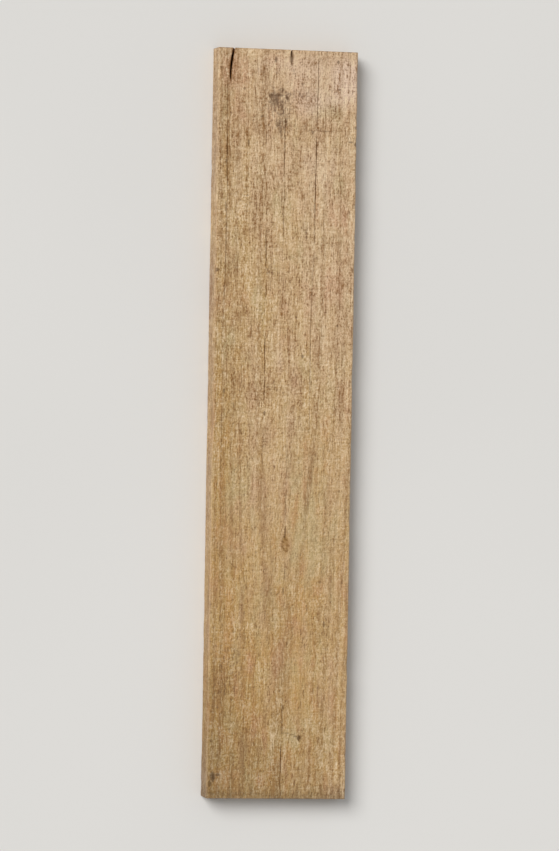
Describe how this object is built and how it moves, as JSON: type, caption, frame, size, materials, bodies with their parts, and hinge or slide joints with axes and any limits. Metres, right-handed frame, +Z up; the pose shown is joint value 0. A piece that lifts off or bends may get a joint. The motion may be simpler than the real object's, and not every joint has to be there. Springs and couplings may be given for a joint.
{
  "type": "wooden plank",
  "caption": "Short wide plank of rough-sawn softwood, lying flat, with eased arrises, an open split and a short check in its head end, and a foot end sawn slightly askew.",
  "frame": {"origin": "middle of the underside, on the floor that the plank lies on", "axes": "+Y along the grain towards the head end, +X to the right of the good face seen from above with the head away from the viewer, +Z up out of the good face"},
  "size_m": [0.2, 1.035, 0.032],
  "materials": {
    "sawn_softwood": "rough-sawn softwood, dry and matt, ochre tan with a grey stain near its head"
  },
  "bodies": {
    "root": {"plank": "sawn_softwood"}
  },
  "joints": []
}
